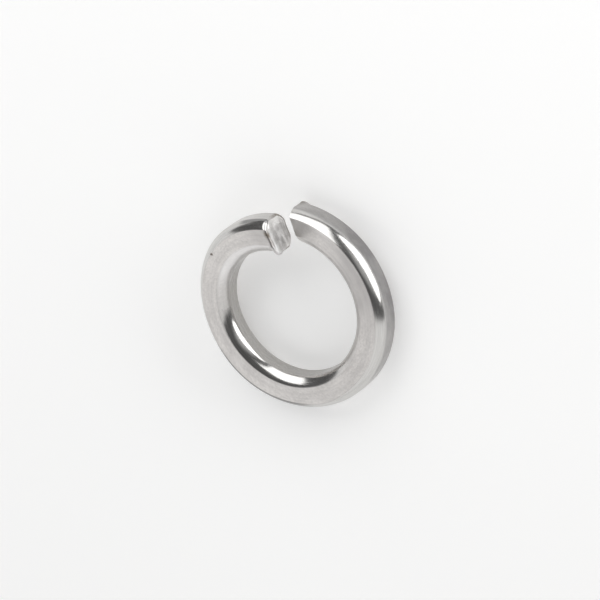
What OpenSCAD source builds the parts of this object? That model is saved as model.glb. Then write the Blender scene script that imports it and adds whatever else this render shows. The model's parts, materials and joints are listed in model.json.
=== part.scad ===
// Split spring lock washer, sized as the M20 type with a square wire.
// It is one piece: a square wire with softened edges, coiled through one turn and cut off at both ends.
// The coil's axis is Z, and the origin is in the middle of its bore and of its free height.
// The slit is on +Y, with the low end on its +X side and the high end on its -X side.

/* [Wire and bore] */
// Diameter of the bore, the hole that the bolt passes through
bore_d = 20.4; // [10:0.1:40]
// Width of the wire, from the bore to the outside
wire_w = 4.9; // [2:0.1:7]
// Thickness of the wire, along the bolt
wire_t = 4.7; // [2:0.1:7]
// How far in from its corner each of the wire's four long edges is taken off
edge_reach = 1.1; // [0.3:0.05:1.8]
// Shape of the long edges: 1 is a flat bevel, and 2 is a quarter circle
edge_fullness = 1.2; // [1:0.05:2]

/* [Coil] */
// Free height, over the low end and the high end together
free_h = 9.3; // [8:0.1:16]
// Hand of the coil: the left-hand one is for common, right-hand threads
hand = "left"; // [left, right]

/* [Slit] */
// Gap between the two ends, round the middle of the wire
slit_gap = 1.1; // [0.2:0.1:3]
// Angle between the cut and the coil's radius, seen along the bolt
slit_skew = 21; // [-30:1:30]
// Angle between the cut and the coil's axis, seen from the side
slit_lean = 4; // [-25:1:25]

/* [Smoothness] */
// Angle between two rings of the sweep, in degrees
ring_step = 4; // [2:0.5:6]
// Number of facets round each long edge of the wire
edge_facets = 5; // [3:1:8]

/* [Hidden] */
bore_r = bore_d / 2;
outer_r = bore_r + wire_w;
mean_r = bore_r + wire_w / 2;

// The rise is what the wire climbs from the middle of one end to the middle of the other.
rise = free_h - wire_t;
gap_angle = 2 * asin(slit_gap / (2 * mean_r));
turn = 360 - gap_angle;
rise_per_degree = rise / turn;

// The sweep is made a little too wide on both sides. The turned walls then cut it back to
// true cylinders, which a swept surface of flat facets can't give.
allowance = 0.02 + outer_r * (1 - cos(ring_step / 2));

// The long edges can't take more than the wire has.
edge = min(edge_reach, 0.45 * min(wire_w, wire_t));

// The rings run clockwise, seen from +Z, so that the wire climbs as a left-hand coil.
slit_at = 90;
low_end = slit_at - gap_angle / 2;
high_end = low_end - turn;
coil_middle = (low_end + high_end) / 2;
ring_count = ceil(turn / ring_step);

// Height of the wire's middle line where it has turned to an angle.
function middle_z(angle) = (coil_middle - angle) * rise_per_degree;

// A sine or cosine, drawn in towards 0 by as much as the long edges are short of a full circle.
function drawn_in(v) = sign(v) * pow(abs(v), 2 / edge_fullness);

// One softened corner of the section, as points [x, z] from the wire's middle line.
function corner(side_x, side_z, from) = [
    for (i = [0:edge_facets])
        let (a = from + 90 * i / edge_facets)
        [
            side_x * (wire_w / 2 + allowance - edge) + edge * drawn_in(cos(a)),
            side_z * (wire_t / 2 - edge) + edge * drawn_in(sin(a))
        ]
];

section = concat(
    corner(1, -1, -90),
    corner(1, 1, 0),
    corner(-1, 1, 90),
    corner(-1, -1, 180)
);
section_count = len(section);

// The angle from an end's middle to where a line of the sweep, x out and z up from the wire's
// middle line, meets the flat cut. Each pass brings it closer: the fourth is exact to 0.001.
function cut_angle(x, z, passes = 4) =
    passes == 0 ? 0 :
    let (
        r = mean_r + x,
        last = cut_angle(x, z, passes - 1),
        across = (r * cos(last) - mean_r) * tan(slit_skew),
        along = (z - last * rise_per_degree) * tan(slit_lean)
    )
    asin((across + along) / r);

// A point of the sweep: point j of the section, at share s of the way from low end to high end.
function wire_point(s, j) =
    let (
        x = section[j][0],
        z = section[j][1],
        angle = low_end - s * turn + cut_angle(x, z),
        r = mean_r + x
    )
    [r * cos(angle), r * sin(angle), middle_z(angle) + z];

module coiled_wire() {
    points = [
        for (i = [0:ring_count]) for (j = [0:section_count - 1])
            wire_point(i / ring_count, j)
    ];
    last = ring_count * section_count;
    low_face = [for (j = [0:section_count - 1]) j];
    high_face = [for (j = [section_count - 1:-1:0]) last + j];
    sides = [
        for (i = [0:ring_count - 1]) for (j = [0:section_count - 1])
            let (
                k = (j + 1) % section_count,
                a = i * section_count,
                b = a + section_count
            )
            each [[a + j, b + j, b + k], [a + j, b + k, a + k]]
    ];
    polyhedron(points = points, faces = concat([low_face, high_face], sides), convexity = 8);
}

// The turned walls hold the bore and the outside to their true radii.
module turned_walls() {
    rotate_extrude($fn = 180)
        translate([bore_r, -free_h])
            square([wire_w, 2 * free_h]);
}

module spring_washer() {
    color("silver")
        mirror([hand == "right" ? 1 : 0, 0, 0])
            intersection() {
                coiled_wire();
                turned_walls();
            }
}

spring_washer();
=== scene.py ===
"""Split spring lock washer: the dressed model, its floor, its light and its camera.

The frame's one node is replaced by a finer sweep of the same wire, with the wear and the sheared ends
that the solid leaves out. The sizes are part.scad's, in millimetres, and everything is turned into
metres when a mesh is made. The washer's axis is Z, the slit is on +Y, and the low end of the coil is
on the slit's +X side. A point of the wire is given by its distance along the wire from the low end,
and by (x, z) in the wire's own section: x points away from the washer's axis, and z points up.
"""
import json
import math

import bpy
from mathutils import Matrix, Vector, noise


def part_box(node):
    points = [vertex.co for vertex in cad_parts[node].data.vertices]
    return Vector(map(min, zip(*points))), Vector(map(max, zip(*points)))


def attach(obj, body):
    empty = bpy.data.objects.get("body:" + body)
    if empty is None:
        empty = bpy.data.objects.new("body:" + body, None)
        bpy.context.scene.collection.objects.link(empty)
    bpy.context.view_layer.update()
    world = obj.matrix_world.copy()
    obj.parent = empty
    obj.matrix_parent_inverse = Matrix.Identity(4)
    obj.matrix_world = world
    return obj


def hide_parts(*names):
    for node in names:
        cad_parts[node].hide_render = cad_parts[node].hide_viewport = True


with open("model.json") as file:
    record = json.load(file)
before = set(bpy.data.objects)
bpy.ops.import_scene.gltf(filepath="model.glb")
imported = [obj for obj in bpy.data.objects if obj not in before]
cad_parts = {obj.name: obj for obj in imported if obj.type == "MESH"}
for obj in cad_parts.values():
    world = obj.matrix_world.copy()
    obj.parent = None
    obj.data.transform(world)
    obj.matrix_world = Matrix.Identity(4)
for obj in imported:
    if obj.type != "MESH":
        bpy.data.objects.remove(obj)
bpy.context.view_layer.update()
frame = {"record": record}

MM = 0.001

# ---------------------------------------------------------------- sizes, as in part.scad
bore_r = next(m["dims"]["r_mm"] for m in frame["record"]["mounts"] if m["name"] == "bore")
outer_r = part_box("spring_washer")[1].x / MM
wire_w = outer_r - bore_r
wire_t = 4.7
free_h = 9.3
slit_gap = 1.1
slit_skew = math.radians(21)
slit_lean = math.radians(4)

mean_r = bore_r + wire_w / 2
rise = free_h - wire_t
gap_angle = 2 * math.asin(slit_gap / (2 * mean_r))
turn = 2 * math.pi - gap_angle
arc = mean_r * turn
low_end = math.pi / 2 - gap_angle / 2
coil_middle = low_end - turn / 2

# Each long edge is a shallow arc between two creases: how far it reaches along the flat face and along
# the wall, and half of the angle through which it turns. A share is a part of the way along the wire,
# from 0 at the low end to 1 at the high end.
OUTER_NEAR = (1.19, 1.72, math.radians(18))          # the outer front edge, near the low end
OUTER_MIDDLE = (0.88, 1.24, math.radians(17))        # the same edge, half way round the coil
OUTER_FAR = (1.20, 1.32, math.radians(17))           # the same edge, near the high end
TO_MIDDLE, TO_FAR = (0.36, 0.46), (0.60, 0.75)       # the shares over which it changes
TIP_LESS, TIP_MM = 0.22, (1.0, 11.0)                 # its face reach is less at the tip of the low end
BORE_FRONT = (1.34, 1.17, math.radians(21))
BORE_MORE, MORE_FROM, MORE_TO = 0.45, (0.56, 0.66), (0.78, 0.86)   # its wall reach is more here
OUTER_BACK = (1.20, 1.20, math.radians(22))
BORE_BACK = (1.35, 1.35, math.radians(22))
WAVER, WAVES_PER_MM = 0.04, 0.13                     # the edges waver a little, as drawn wire does

# ---------------------------------------------------------------- how fine the mesh is
RINGS = 600          # rings of the sweep along the coil
CORNER = 14          # facets round each long edge, an even number
FLAT = 16            # facets across each flat side
SIDE = CORNER + FLAT
COUNT = 4 * SIDE     # points of a ring
END_RINGS = (0, 0.02, 0.05, 0.09, 0.14, 0.20, 0.27, 0.35, 0.45, 0.57, 0.70, 0.85, 1.0)   # mm from a cut

# ---------------------------------------------------------------- wear, in mm
OUT_OF_ROUND, OUT_OF_LEVEL = 0.10, 0.13              # how far the coil is out of true

# A pit in the front face. It has rings of its own, so many on each side of its middle.
PIT_ALONG, PIT_X, PIT_R, PIT_DEPTH = 67.2, 1.24, 0.25, 0.16
PIT_RINGS = 12

FRONT = wire_t / 2 - 0.3                             # a point above this z belongs to the front face
TIP_SLANT = 0.07                                     # the low end's outer side stands out a little
TIP_FILL = (0.24, -0.22)                             # its low outer corner is drawn out, by (x, z)
ROLL, ROLL_BACK, ROLL_FRONT = 0.30, 0.30, 0.24       # radius of the high end's rim, and what two sides add
SPUR, SPUR_PULL = (-0.72, 0.06), 0.15                # the burr on its bore side, by (x, z) and along
END_MM = 2.0                                         # how far from a cut the end's wear reaches


def smooth(a, b, x):
    """0 below a, 1 above b, and a smooth step between them."""
    t = min(1.0, max(0.0, (x - a) / (b - a)))
    return t * t * (3 - 2 * t)


def near(x, z, at_x, at_z, size):
    """1 at one place of the section, fading to 0 about a size away."""
    return math.exp(-((x - at_x) ** 2 + (z - at_z) ** 2) / size ** 2)


def section(along):
    """The wire's section at a distance along it: (x, z) points, from the outer back edge round by the
    outer wall, the front face and the bore."""
    share = along / arc
    middle, far = smooth(*TO_MIDDLE, share), smooth(*TO_FAR, share)
    outer = [a + (b - a) * middle + (c - b) * far
             for a, b, c in zip(OUTER_NEAR, OUTER_MIDDLE, OUTER_FAR)]
    outer[0] -= TIP_LESS * (1 - smooth(*TIP_MM, along))
    more = smooth(*MORE_FROM, share) - smooth(*MORE_TO, share)
    bore = (BORE_FRONT[0], BORE_FRONT[1] + BORE_MORE * more, BORE_FRONT[2])
    corners = []
    for k, (sx, sz, edge) in enumerate(((1, -1, OUTER_BACK), (1, 1, outer),
                                        (-1, 1, bore), (-1, -1, BORE_BACK))):
        waver = 1 + WAVER * noise.noise(Vector((along * WAVES_PER_MM, k * 7.3, 2.0)))
        face, wall, half = edge[0] * waver, edge[1] * waver, edge[2]
        chord = math.hypot(face, wall)
        radius = chord / 2 / math.sin(half)
        points = []
        for i in range(CORNER + 1):
            # f is the share of the chord, from face to wall, and out is how far the arc stands off it.
            a = half * (2 * i / CORNER - 1)
            f = 0.5 + radius * math.sin(a) / chord
            out = radius * (math.cos(a) - math.cos(half)) / chord
            points.append((sx * (wire_w / 2 - face * f + wall * out),
                           sz * (wire_t / 2 - wall * (1 - f) + face * out)))
        corners.append(points if k % 2 else points[::-1])
    # The flat sides join the corners, with finer facets beside the creases.
    ring = []
    for k in range(4):
        ring += corners[k]
        (x0, z0), (x1, z1) = corners[k][-1], corners[(k + 1) % 4][0]
        for i in range(1, FLAT):
            f = (1 - math.cos(math.pi * i / FLAT)) / 2
            ring.append((x0 + (x1 - x0) * f, z0 + (z1 - z0) * f))
    return ring


def role(j):
    """What point j of a ring lies on: an "edge", a "wall" or a "face", or the crease at one."""
    k, i = divmod(j, SIDE)
    if 0 < i < CORNER:
        return "edge"
    on_wall = (i >= CORNER) == (k % 2 == 0)
    return ("wall" if on_wall else "face") + (" crease" if i in (0, CORNER) else "")


ROLES = [role(j) for j in range(COUNT)]
POLISH = {"edge": 1.0, "wall": 0.5, "wall crease": 0.7, "face": 0.0, "face crease": 0.0}
BORE_POLISH = 0.25   # what is left of the polish on most of the bore's front edge
CREASE = {"face crease": 1.0, "wall crease": 0.15}   # how dark a line is painted along a crease


def cut_angle(x, z):
    """How far the flat cut stands from the end's middle, for a line of the sweep at (x, z)."""
    r, a = mean_r + x, 0.0
    for _ in range(3):
        across = (r * math.cos(a) - mean_r) * math.tan(slit_skew)
        along = (z - a * rise / turn) * math.tan(slit_lean)
        a = math.asin((across + along) / r)
    return a


def from_pit(along, x):
    """How far a point of the front face is from the middle of the pit."""
    return math.hypot(along - PIT_ALONG, x - PIT_X)


def worn_low(from_low, x, z):
    """The low end's worn tip, as worn() gives it. Its low outer corner is at (2.2, -2.1)."""
    pull = -TIP_SLANT * (1 - smooth(0, 1.5, from_low)) * smooth(0.4, 2.3, x)
    tip = near(x, z, 2.2, -2.1, 1.1) * (1 - smooth(0, 1.1, from_low))
    return x + TIP_FILL[0] * tip, z + TIP_FILL[1] * tip, pull


def worn_high(from_high, x, z):
    """The high end's rolled rim and its burr, as worn() gives them. The rim is rounder at the back of
    the bore's side, and a little at its front, and at the front of the outer side. The burr is at
    (-2, 2), the corner of the bore and the front."""
    bore_side = 1 - smooth(-0.6, 2.0, x)
    back_and_front = max(1 - smooth(-2.2, 0.6, z), 0.3 * smooth(0.8, 1.8, z))
    roll = ROLL + ROLL_BACK * bore_side * back_and_front + ROLL_FRONT * near(x, z, 1.6, 1.9, 0.7)
    if from_high < roll:
        drop = roll - math.sqrt(roll ** 2 - (roll - from_high) ** 2)
        far = math.hypot(x, z)
        x, z = x * (1 - drop / far), z * (1 - drop / far)
    spur = near(x, z, -2.0, 2.0, 0.95) * (1 - smooth(0, 0.9, from_high))
    return x + SPUR[0] * spur, z + SPUR[1] * spur, SPUR_PULL * spur


def worn(along, x, z):
    """What the cutting and the years did: a moved (x, z), and how far the point is pulled along the
    wire, towards the high end."""
    pull = 0.0
    if along < END_MM:
        x, z, pull = worn_low(along, x, z)
    elif arc - along < END_MM:
        x, z, pull = worn_high(arc - along, x, z)
    if z > FRONT:
        z -= PIT_DEPTH * (1 - smooth(0.25 * PIT_R, PIT_R, from_pit(along, x)))
    return x, z, pull


def place(along, x, z):
    """Where a point of the wire is, in mm from the frame's origin. The coil is a little out of true:
    wider and higher at its ends and opposite them."""
    turned = cut_angle(x, z)
    x, z, pull = worn(along, x, z)
    angle = low_end - along / arc * turn + turned - pull / (mean_r + x)
    r = mean_r + x
    untrue = math.cos(4 * math.pi * along / arc)
    r += OUT_OF_ROUND * untrue
    height = (coil_middle - angle) * rise / turn + z + OUT_OF_LEVEL * untrue
    return Vector((r * math.cos(angle), r * math.sin(angle), height))


# ---------------------------------------------------------------- the sweep
def stations():
    """Distances along the wire at which there is a ring."""
    close = END_RINGS[-1]
    step = (arc - 2 * close) / RINGS
    at = list(END_RINGS) + [close + step * i for i in range(1, RINGS)] + [arc - e for e in END_RINGS]
    at = [a for a in at if abs(a - PIT_ALONG) > 2 * PIT_R]
    by_pit = [PIT_ALONG + 2 * PIT_R * i / PIT_RINGS for i in range(-PIT_RINGS, PIT_RINGS + 1)]
    return sorted(at + by_pit)


def stain_at(along, x, z):
    """How much brown dirt is on a point of the wire: at both cuts, and in the pit. At the high end's front
    rim it is partly painted shade, which dims the highlight on the rolled rim.
    """
    from_high = arc - along
    low_tip = (1 - smooth(0.0, 0.8, along)) * near(x, z, 2.2, -2.0, 1.4)
    rim = 1 - smooth(0.1, 0.5, from_high)
    back = 0.8 * rim * (1 - smooth(-0.8, 0.6, z))
    # brown dirt, spread wider along the front rim as painted shade that dims the rim's highlight
    front = 0.4 * rim * near(x, z, -0.5, 2.35, 0.9)
    spot = (1 - smooth(0.3, 0.8, from_high)) * near(x, z, 0.55, 2.35, 0.55)
    pit = 1 - smooth(0.5 * PIT_R, 1.1 * PIT_R, from_pit(along, x)) if z > FRONT else 0.0
    return low_tip + max(back, front, spot) + pit


def polish_at(along, j):
    """How shiny point j of a ring is. The bore's front edge is less so, but for its middle stretch."""
    if not 2 * SIDE <= j <= 2 * SIDE + CORNER:
        return POLISH[ROLES[j]]
    stretch = smooth(0.32, 0.38, along / arc) * (1 - smooth(0.68, 0.75, along / arc))
    return POLISH[ROLES[j]] * (BORE_POLISH + (1 - BORE_POLISH) * stretch)


rings = stations()

# How far round the section each of a ring's points is, for the UV layer
sides = section(0)
around = [0.0]
for j in range(COUNT):
    (x0, z0), (x1, z1) = sides[j], sides[(j + 1) % COUNT]
    around.append(around[-1] + math.hypot(x1 - x0, z1 - z0))

verts, sections, polish, crease, stain_and_shade = [], [], [], [], []
for along in rings:
    for j, (x, z) in enumerate(section(along)):
        verts.append(place(along, x, z))
        sections.append((x, z))
        polish.append(polish_at(along, j))
        crease.append(CREASE.get(ROLES[j], 0.0))
        stain_and_shade.append(stain_at(along, x, z))

faces, face_uvs, face_mats = [], [], []
for i in range(len(rings) - 1):
    a, b = i * COUNT, (i + 1) * COUNT
    u0, u1 = rings[i], rings[i + 1]
    for j in range(COUNT):
        k = (j + 1) % COUNT
        faces.append((a + j, b + j, b + k, a + k))
        face_uvs += [(u0, around[j]), (u1, around[j]), (u1, around[j + 1]), (u0, around[j + 1])]
        face_mats.append(0)


# ---------------------------------------------------------------- the cut ends
def torn(x, z, seed):
    """How far the sheared face stands out, in mm. The shear dragged it across the wire, along x."""
    drag = noise.noise(Vector((x * 0.4, z * 1.5, seed)))
    lump = noise.noise(Vector((x * 0.8, z * 0.9, seed + 5)))
    grain = noise.noise(Vector((x * 2.5, z * 3.5, seed + 9)))
    groove = (1 - smooth(0.0, 0.22, abs(z - 0.35))) * (1 - smooth(0.5, 0.9, abs(x + 0.2)))
    return 0.045 * drag + 0.05 * lump + 0.02 * grain - 0.07 * groove


def cut_end(start, outward, seed):
    """Fills the ring that begins at vertex start with a grid blended from its four sides (a Coons
    patch). The grid's corners are in the middle of the wire's long edges."""
    rim = [start + (CORNER // 2 + j) % COUNT for j in range(COUNT)]
    grid = {}
    for m in range(SIDE + 1):
        grid[m, 0] = rim[m]
        grid[SIDE, m] = rim[SIDE + m]
        grid[SIDE - m, SIDE] = rim[2 * SIDE + m]
        grid[0, SIDE - m] = rim[(3 * SIDE + m) % COUNT]

    def values(i, j):
        """The place and the (x, z) of a point of the rim, as one vector of five numbers."""
        v = grid[i, j]
        return Vector(tuple(verts[v]) + sections[v])

    made = {}
    for i in range(1, SIDE):
        for j in range(1, SIDE):
            f, g = i / SIDE, j / SIDE
            v = (values(i, 0) * (1 - g) + values(i, SIDE) * g
                 + values(0, j) * (1 - f) + values(SIDE, j) * f
                 - values(0, 0) * (1 - f) * (1 - g) - values(SIDE, 0) * f * (1 - g)
                 - values(0, SIDE) * (1 - f) * g - values(SIDE, SIDE) * f * g)
            x, z = v[3], v[4]
            inside = smooth(0, 3.5, min(i, j, SIDE - i, SIDE - j))
            made[i, j] = len(verts)
            verts.append(Vector(v[:3]) + outward * torn(x, z, seed) * inside)
            sections.append((x, z))
            polish.append(0.0)
            crease.append(0.0)
            stain_and_shade.append(0.0)
    grid.update(made)
    for i in range(SIDE):
        for j in range(SIDE):
            quad = (grid[i, j], grid[i + 1, j], grid[i + 1, j + 1], grid[i, j + 1])
            side = (verts[quad[1]] - verts[quad[0]]).cross(verts[quad[2]] - verts[quad[0]])
            if side.dot(outward) < 0:
                quad = quad[::-1]
            faces.append(quad)
            face_uvs.extend(sections[v] for v in quad)
            face_mats.append(1)


def heading(angle):
    """The direction of the wire at an angle round the axis, towards the high end."""
    return Vector((math.sin(angle), -math.cos(angle), rise / turn / mean_r)).normalized()


cut_end((len(rings) - 1) * COUNT, heading(low_end - turn), seed=3.0)
cut_end(0, -heading(low_end), seed=8.0)

# The UV layer gives materials a place in mm: along and round the wire, or (x, z) on a cut end.
UV_LAYER = "wire_mm"
mesh = bpy.data.meshes.new("washer")
mesh.from_pydata([v * MM for v in verts], [], faces)
layer = mesh.uv_layers.new(name=UV_LAYER)
layer.data.foreach_set("uv", [c for uv in face_uvs for c in uv])
mesh.polygons.foreach_set("material_index", face_mats)
mesh.polygons.foreach_set("use_smooth", [True] * len(faces))
for name, values in (("polish", polish), ("crease", crease), ("stain_and_shade", stain_and_shade)):
    mesh.attributes.new(name, "FLOAT", "POINT").data.foreach_set("value", values)

# Shading breaks along every crease and round both cuts.
sweep_points = len(rings) * COUNT
sharp = []
for edge in mesh.edges:
    a, b = sorted(edge.vertices)
    along_crease = b < sweep_points and b - a == COUNT and crease[a] > 0
    rim = b < sweep_points and (b < COUNT or a >= sweep_points - COUNT)
    sharp.append(bool(along_crease or rim))
mesh.attributes.new("sharp_edge", "BOOLEAN", "EDGE").data.foreach_set("value", sharp)
mesh.update()
washer = bpy.data.objects.new("washer", mesh)
bpy.context.scene.collection.objects.link(washer)


# ---------------------------------------------------------------- materials
class Nodes:
    """A node tree, with short calls for the nodes that the materials and the sky use."""

    def __init__(self, tree):
        self.tree = tree

    def node(self, kind, inputs=(), **settings):
        """Adds a node. inputs are pairs of a socket's name or number and what goes into it."""
        node = self.tree.nodes.new(kind)
        for name, value in settings.items():
            setattr(node, name, value)
        for socket, value in inputs:
            self.put(node.inputs[socket], value)
        return node

    def put(self, socket, value):
        """Sets a socket to a number or a colour, or links an output to it."""
        if isinstance(value, bpy.types.NodeSocket):
            self.tree.links.new(value, socket)
        else:
            socket.default_value = value

    def math(self, operation, a, b=0.0):
        return self.node("ShaderNodeMath", ((0, a), (1, b)), operation=operation).outputs[0]

    def add(self, a, b):
        return self.math("ADD", a, b)

    def times(self, a, b):
        return self.math("MULTIPLY", a, b)

    def ramp(self, value, low, high, to_low=0.0, to_high=1.0):
        """A smooth step from to_low, where the value is low, to to_high, where it is high."""
        inputs = (("Value", value), ("From Min", low), ("From Max", high),
                  ("To Min", to_low), ("To Max", to_high))
        return self.node("ShaderNodeMapRange", inputs, interpolation_type="SMOOTHSTEP").outputs["Result"]

    def window(self, value, start, end, soft, height=1.0):
        """height between start and end, fading to 0 over soft on each side."""
        away = self.math("ABSOLUTE", self.math("SUBTRACT", value, (start + end) / 2))
        return self.ramp(away, (end - start) / 2, (end - start) / 2 + soft, height, 0.0)

    def mix(self, factor, a, b):
        node = self.node("ShaderNodeMix", data_type="RGBA")
        for socket, value in zip((0, 6, 7), (factor, a, b)):
            self.put(node.inputs[socket], value)
        return node.outputs[2]

    def attribute(self, name):
        return self.node("ShaderNodeAttribute", attribute_name=name).outputs["Fac"]

    def uv(self):
        return self.node("ShaderNodeUVMap", uv_map=UV_LAYER).outputs["UV"]

    def split(self, vector):
        return self.node("ShaderNodeSeparateXYZ", ((0, vector),)).outputs

    def noise(self, vector, per_mm_x, per_mm_y, detail=2.0, roughness=0.5, shift=0.0):
        """Noise from 0 to 1, with so many waves to the millimetre along and across."""
        scale = self.node("ShaderNodeMapping", (("Scale", (per_mm_x, per_mm_y, 1)),
                                                ("Location", (shift, shift * 0.7, shift * 1.3)),
                                                ("Vector", vector)))
        return self.node("ShaderNodeTexNoise", (("Scale", 1.0), ("Detail", detail),
                                                ("Roughness", roughness),
                                                ("Vector", scale.outputs[0]))).outputs["Fac"]

    def bump(self, height, depth_mm, under=None):
        node = self.node("ShaderNodeBump", (("Distance", depth_mm * MM), ("Height", height)))
        if under is not None:
            self.put(node.inputs["Normal"], under)
        return node.outputs["Normal"]


class Surface(Nodes):
    """The node tree of a new material."""

    def __init__(self, name):
        self.material = bpy.data.materials.new(name)
        self.material.use_nodes = True
        super().__init__(self.material.node_tree)

    def shade(self, **values):
        """Sets the shader's sockets, whose names have _ for a space here."""
        shader = self.tree.nodes["Principled BSDF"]
        for name, value in values.items():
            self.put(shader.inputs[name.replace("_", " ")], value)


# Places round the section, in the same mm as the UV layer's second number
WALL_END = around[SIDE]                                   # where the outer wall ends
FACE_START = around[SIDE + CORNER]                        # where the front face starts
BORE_EDGE = around[2 * SIDE], around[2 * SIDE + CORNER]   # the bore's front edge
BORE_WALL = around[2 * SIDE + CORNER], around[3 * SIDE]   # the bore's wall
BRIGHT_CORNER = (-1.9, 1.8)                               # the corner of a cut end with the burr, where a highlight is painted

SATIN = (0.56, 0.54, 0.525, 1), (0.72, 0.695, 0.675, 1)   # darkest and palest
SATIN_STREAK = (0.74, 0.72, 0.705, 1)
SATIN_BAND = (0.47, 0.455, 0.45, 1)
SHINY = (0.56, 0.55, 0.535, 1), (0.64, 0.63, 0.615, 1)
# the colour of the darker face patches, and of painted shade on the outer wall
DULL_AND_PAINTED_SHADE = (0.30, 0.29, 0.29, 1)
# painted light: it makes the faces at the low end's tip paler
PAINTED_TIP_LIGHT = (0.90, 0.88, 0.86, 1)
# painted dark reflection and painted contact shadow
PAINTED_DARK_LINE = (0.14, 0.14, 0.14, 1)
BORE_SHADE = (0.30, 0.29, 0.27, 1)
PALER_EDGE = (0.88, 0.87, 0.87, 1)
CREASE_DARK = (0.20, 0.19, 0.18, 1)
BROWN_STAIN_AND_SHADE = (0.17, 0.14, 0.11, 1)
TORN = (0.66, 0.65, 0.64, 1), (0.82, 0.81, 0.80, 1)
TORN_GRAIN = (0.40, 0.38, 0.37, 1)
# a painted highlight
PAINTED_BURR_HIGHLIGHT = (0.95, 0.95, 0.94, 1)


def drawn_steel():
    """Bare drawn wire: satin flat faces with faint lines along the wire, rubbed shiny edges, darker
    patches by the
    cut ends, and painted light and shade: a paler low tip, dark patches, and dark lines."""
    n = Surface("steel_drawn")
    uv = n.uv()
    along, round_wire = n.split(uv)[:2]
    polished, line, dirt_and_shade = n.attribute("polish"), n.attribute("crease"), n.attribute("stain_and_shade")
    matt = n.math("SUBTRACT", 1.0, polished)
    streak = n.noise(uv, 0.30, 6.0, 3.0, 0.6)
    speck = n.noise(uv, 2.4, 3.0, 3.0, 0.65, 3.0)
    blotch = n.noise(uv, 0.33, 0.55, 3.0, 0.6, 11.0)
    band = n.noise(uv, 0.05, 1.9, 2.0, 0.5, 31.0)
    wave = n.noise(uv, 0.35, 1.1, 1.0, 0.4, 23.0)

    # Satin faces and shiny edges
    mottle = n.add(n.times(blotch, 0.45), n.times(speck, 0.55))
    satin = n.mix(n.ramp(mottle, 0.33, 0.67), *SATIN)
    satin = n.mix(n.ramp(streak, 0.55, 0.75, 0.0, 0.35), satin, SATIN_STREAK)
    satin = n.mix(n.ramp(band, 0.35, 0.6, 0.30, 0.0), satin, SATIN_BAND)
    shiny = n.mix(n.ramp(streak, 0.3, 0.7), *SHINY)
    colour = n.mix(polished, satin, shiny)

    # The faces are darker near the high end and over a stretch 11 to 15 mm from the low end. At the low
    # end's tip they are painted paler: painted light against the dark reflection of the high end's cut
    # face.
    high_patch = n.math("SUBTRACT", along, n.times(blotch, 6.0))
    high_patch = n.ramp(high_patch, arc - 9.0, arc - 3.0, 0.0, 0.35)
    darker_stretch = n.window(along, 11.0, 15.0, 6.0, 0.5)
    dull = n.times(n.math("MAXIMUM", high_patch, darker_stretch), matt)
    colour = n.mix(n.times(dull, n.ramp(speck, 0.3, 0.7, 0.4, 0.9)), colour, DULL_AND_PAINTED_SHADE)
    colour = n.mix(n.times(n.ramp(along, 0.4, 3.0, 0.75, 0.0), matt), colour, PAINTED_TIP_LIGHT)

    # Painted shade on the outer wall near the low end, standing for the dark reflection that the wall
    # shows there
    on_wall = n.ramp(round_wire, WALL_END + 0.1, WALL_END + 0.6, 1.0, 0.0)
    wall_dark_reflection = n.add(n.window(along, 0.0, 26.0, 4.0, 0.55), n.window(along, 7.0, 17.0, 5.0, 0.3))
    wall_dark_reflection = n.times(n.times(wall_dark_reflection, n.ramp(blotch, 0.3, 0.7, 0.8, 1.3)), on_wall)
    colour = n.mix(wall_dark_reflection, colour, DULL_AND_PAINTED_SHADE)

    # Painted dark lines: a painted dark reflection at the end of the outer wall by the high end, and a
    # painted contact shadow on the outer side up to the start of the face, half way round
    wall_dark_reflection_line = n.times(n.window(along, 75.0, arc, 1.5, 0.7),
                        n.window(round_wire, WALL_END + 0.1, WALL_END + 0.6, 0.2))
    contact_shadow_line = n.times(n.window(along, 40.0, 50.0, 4.0, 0.75),
                        n.ramp(round_wire, FACE_START + 0.08, FACE_START + 0.26, 1.0, 0.0))
    colour = n.mix(n.math("MAXIMUM", wall_dark_reflection_line, contact_shadow_line), colour, PAINTED_DARK_LINE)

    # The bore: painted shade on its wall opposite the slit, and a paler front edge near the high end
    shade = n.times(n.window(along, 32.0, 64.0, 6.0, 0.35), n.window(round_wire, *BORE_WALL, 0.1))
    colour = n.mix(shade, colour, BORE_SHADE)
    paler_edge = n.times(n.window(along, 66.0, arc, 7.0, 0.5), n.window(round_wire, *BORE_EDGE, 0.1))
    colour = n.mix(paler_edge, colour, PALER_EDGE)

    # A dark line is painted along the creases, and brown dirt is put at the cuts and in the pit.
    colour = n.mix(n.times(line, n.ramp(streak, 0.35, 0.65, 0.03, 0.30)), colour, CREASE_DARK)
    # at the high end's front rim the dirt is spread wider, as painted shade that dims the highlight on the
    # rolled rim
    colour = n.mix(n.times(dirt_and_shade, n.ramp(speck, 0.25, 0.6, 0.5, 1.0)), colour, BROWN_STAIN_AND_SHADE)

    rough = n.ramp(polished, 0.0, 1.0, 0.37, 0.17)
    rough = n.add(rough, n.times(n.math("SUBTRACT", streak, 0.5), 0.12))
    rough = n.add(rough, n.times(dull, 0.10))

    relief = n.bump(wave, 0.020)
    relief = n.bump(n.times(speck, matt), 0.010, relief)
    relief = n.bump(n.times(streak, n.ramp(polished, 0.0, 1.0, 1.0, 0.3)), 0.0035, relief)
    n.shade(Metallic=1.0, Base_Color=colour, Roughness=rough, Normal=relief)
    return n.material


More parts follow.
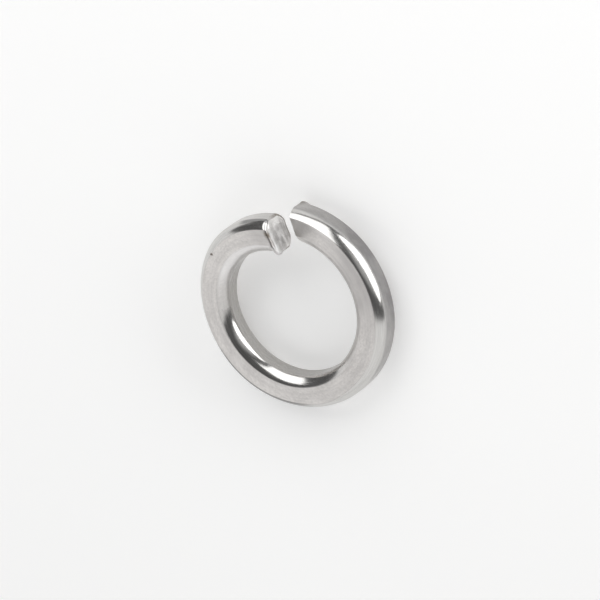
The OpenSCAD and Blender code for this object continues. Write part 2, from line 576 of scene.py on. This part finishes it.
def sheared_steel():
    """The torn metal of a cut end, dragged across the wire by the shear, with a painted highlight at the
    burr's corner.
    """
    n = Surface("steel_sheared")
    xz = n.uv()
    drag = n.noise(xz, 0.6, 2.4, 3.0, 0.6, 5.0)
    lump = n.noise(xz, 0.8, 0.9, 3.0, 0.6, 9.0)
    grain = n.noise(xz, 6.0, 9.0, 2.0, 0.6, 2.0)
    tone = n.add(n.times(drag, 0.6), n.times(lump, 0.4))
    colour = n.mix(n.ramp(tone, 0.35, 0.62), *TORN)
    colour = n.mix(n.ramp(grain, 0.35, 0.6, 0.35, 0.0), colour, TORN_GRAIN)

    # A highlight is painted on the corner with the burr.
    x, z = n.split(xz)[:2]
    x, z = n.math("SUBTRACT", x, BRIGHT_CORNER[0]), n.math("SUBTRACT", z, BRIGHT_CORNER[1])
    away = n.add(n.times(x, x), n.times(z, z))
    colour = n.mix(n.ramp(away, 0.1, 1.0, 0.8, 0.0), colour, PAINTED_BURR_HIGHLIGHT)

    relief = n.bump(n.add(n.times(drag, 0.75), n.times(grain, 0.25)), 0.02)
    n.shade(Metallic=1.0, Base_Color=colour, Roughness=n.ramp(lump, 0.3, 0.7, 0.34, 0.52), Normal=relief)
    return n.material


mesh.materials.append(drawn_steel())
mesh.materials.append(sheared_steel())
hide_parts("spring_washer")
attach(washer, "root")

# ---------------------------------------------------------------- floor
# The washer lies as it comes to rest, on the tip of its low end and on the coil opposite. The frame's
# Z stays the bore's axis, so it is the floor that is tilted.
FLOOR_UP = Vector((0.0627, 0.0856, 0.9944)).normalized()
FLOOR_HALF = 1.5     # metres
PAPER = (0.93, 0.93, 0.925, 1)
PAPER_GLOW = 0.23    # makes up for the light that the lamps don't give the floor
floor_at = min(v.co.dot(FLOOR_UP) for v in mesh.vertices)
turn_up = Vector((0, 0, 1)).rotation_difference(FLOOR_UP)
floor_mesh = bpy.data.meshes.new("floor")
floor_mesh.from_pydata(
    [turn_up @ Vector((x * FLOOR_HALF, y * FLOOR_HALF, 0)) + FLOOR_UP * floor_at
     for x, y in ((-1, -1), (1, -1), (1, 1), (-1, 1))], [], [(0, 1, 2, 3)])
floor = bpy.data.objects.new("floor", floor_mesh)
bpy.context.scene.collection.objects.link(floor)
paper = Surface("paper")
rays = paper.node("ShaderNodeLightPath").outputs
seen = paper.add(rays["Is Camera Ray"], rays["Is Glossy Ray"])
paper.shade(Base_Color=PAPER, Roughness=0.9, Specular_IOR_Level=0.1,
            Emission_Color=(1, 1, 1, 1), Emission_Strength=paper.times(seen, PAPER_GLOW))
floor_mesh.materials.append(paper.material)

# ---------------------------------------------------------------- light
LAMP_DISTANCE = 0.6  # metres
WALL_LIGHT = 1.08    # a bright wall that the flat face mirrors
GLOW = 0.5           # a soft glow above the side lamp
ROOM = 0.14          # the rest of the room
BACKDROP = (0.86, 0.86, 0.86, 1)

scene = bpy.context.scene
scene.view_settings.view_transform = "Standard"


def direction(azimuth, polar):
    """The unit vector at an azimuth from +X and a polar angle from +Z, in degrees."""
    a, p = math.radians(azimuth), math.radians(polar)
    return Vector((math.sin(p) * math.cos(a), math.sin(p) * math.sin(a), math.cos(p)))


def softbox(name, shape, azimuth, polar, wide, tall, radiance):
    """A flat lamp that faces the washer. wide and tall are the angles that it fills, in degrees."""
    lamp = bpy.data.lights.new(name, "AREA")
    lamp.shape = shape
    lamp.size = 2 * LAMP_DISTANCE * math.tan(math.radians(wide / 2))
    lamp.size_y = 2 * LAMP_DISTANCE * math.tan(math.radians(tall / 2))
    lamp.energy = radiance * math.pi * lamp.size * lamp.size_y
    ob = bpy.data.objects.new(name, lamp)
    scene.collection.objects.link(ob)
    d = direction(azimuth, polar)
    ob.location = d * LAMP_DISTANCE
    ob.rotation_mode = "QUATERNION"
    ob.rotation_quaternion = d.to_track_quat("Z", "Y")
    ob.visible_camera = False


softbox("key", "RECTANGLE", azimuth=105, polar=62, wide=49, tall=50, radiance=1.9)
softbox("side", "ELLIPSE", azimuth=35, polar=83, wide=71, tall=27, radiance=2.3)

world = bpy.data.worlds.new("studio")
scene.world = world
world.use_nodes = True
sky = Nodes(world.node_tree)
sky.tree.nodes.clear()
sky_point = sky.node("ShaderNodeTexCoord").outputs["Generated"]


def lobe(azimuth, polar, start, end):
    """A soft patch of the sky round a direction: 1 where the cosine is above end, 0 below start."""
    inputs = ((0, sky_point), (1, direction(azimuth, polar)))
    dot = sky.node("ShaderNodeVectorMath", inputs, operation="DOT_PRODUCT")
    return sky.ramp(dot.outputs["Value"], start, end)


top = lobe(azimuth=0, polar=0, start=0.93, end=0.985)
wall = sky.times(lobe(azimuth=256, polar=90, start=0.015, end=0.10), sky.math("SUBTRACT", 1.0, top))
wall = sky.times(wall, WALL_LIGHT)
glow = sky.times(lobe(azimuth=35, polar=73, start=0.85, end=0.97), GLOW)
lit = sky.node("ShaderNodeBackground", (("Strength", sky.add(sky.add(wall, glow), ROOM)),))
seen = sky.node("ShaderNodeBackground", (("Color", BACKDROP),))
is_camera = sky.node("ShaderNodeLightPath").outputs["Is Camera Ray"]
mixed = sky.node("ShaderNodeMixShader", ((0, is_camera), (1, lit.outputs[0]), (2, seen.outputs[0])))
sky.node("ShaderNodeOutputWorld", (("Surface", mixed.outputs[0]),))

# ---------------------------------------------------------------- camera
CAMERA_AZIMUTH = 41.25             # degrees
CAMERA_POLAR = 41.40
CAMERA_ROLL = 36.91                # turns the slit to the top of the picture
CAMERA_DISTANCE = 652 * MM
PIXELS_PER_MM = 6.960              # at the washer
FRAME_PIXELS = 600
WASHER_PIXEL = (296.4, 307.5)      # where the frame's origin lands in the picture
SENSOR_MM = 36

to_camera = direction(CAMERA_AZIMUTH, CAMERA_POLAR)
down = direction(CAMERA_AZIMUTH, CAMERA_POLAR + 90)
across = direction(CAMERA_AZIMUTH + 90, 90)
roll = math.radians(CAMERA_ROLL)
right = down * math.cos(roll) - across * math.sin(roll)
up = down * math.sin(roll) + across * math.cos(roll)
eye = bpy.data.cameras.new("camera")
eye.sensor_width = SENSOR_MM
eye.lens = SENSOR_MM * CAMERA_DISTANCE / (FRAME_PIXELS / PIXELS_PER_MM * MM)
eye.shift_x = (FRAME_PIXELS / 2 - WASHER_PIXEL[0]) / FRAME_PIXELS
eye.shift_y = (WASHER_PIXEL[1] - FRAME_PIXELS / 2) / FRAME_PIXELS
eye.clip_start = 0.01
eye.clip_end = 20
camera = bpy.data.objects.new("camera", eye)
scene.collection.objects.link(camera)
camera.matrix_world = Matrix((right, up, to_camera)).transposed().to_4x4()
camera.location = to_camera * CAMERA_DISTANCE
scene.camera = camera
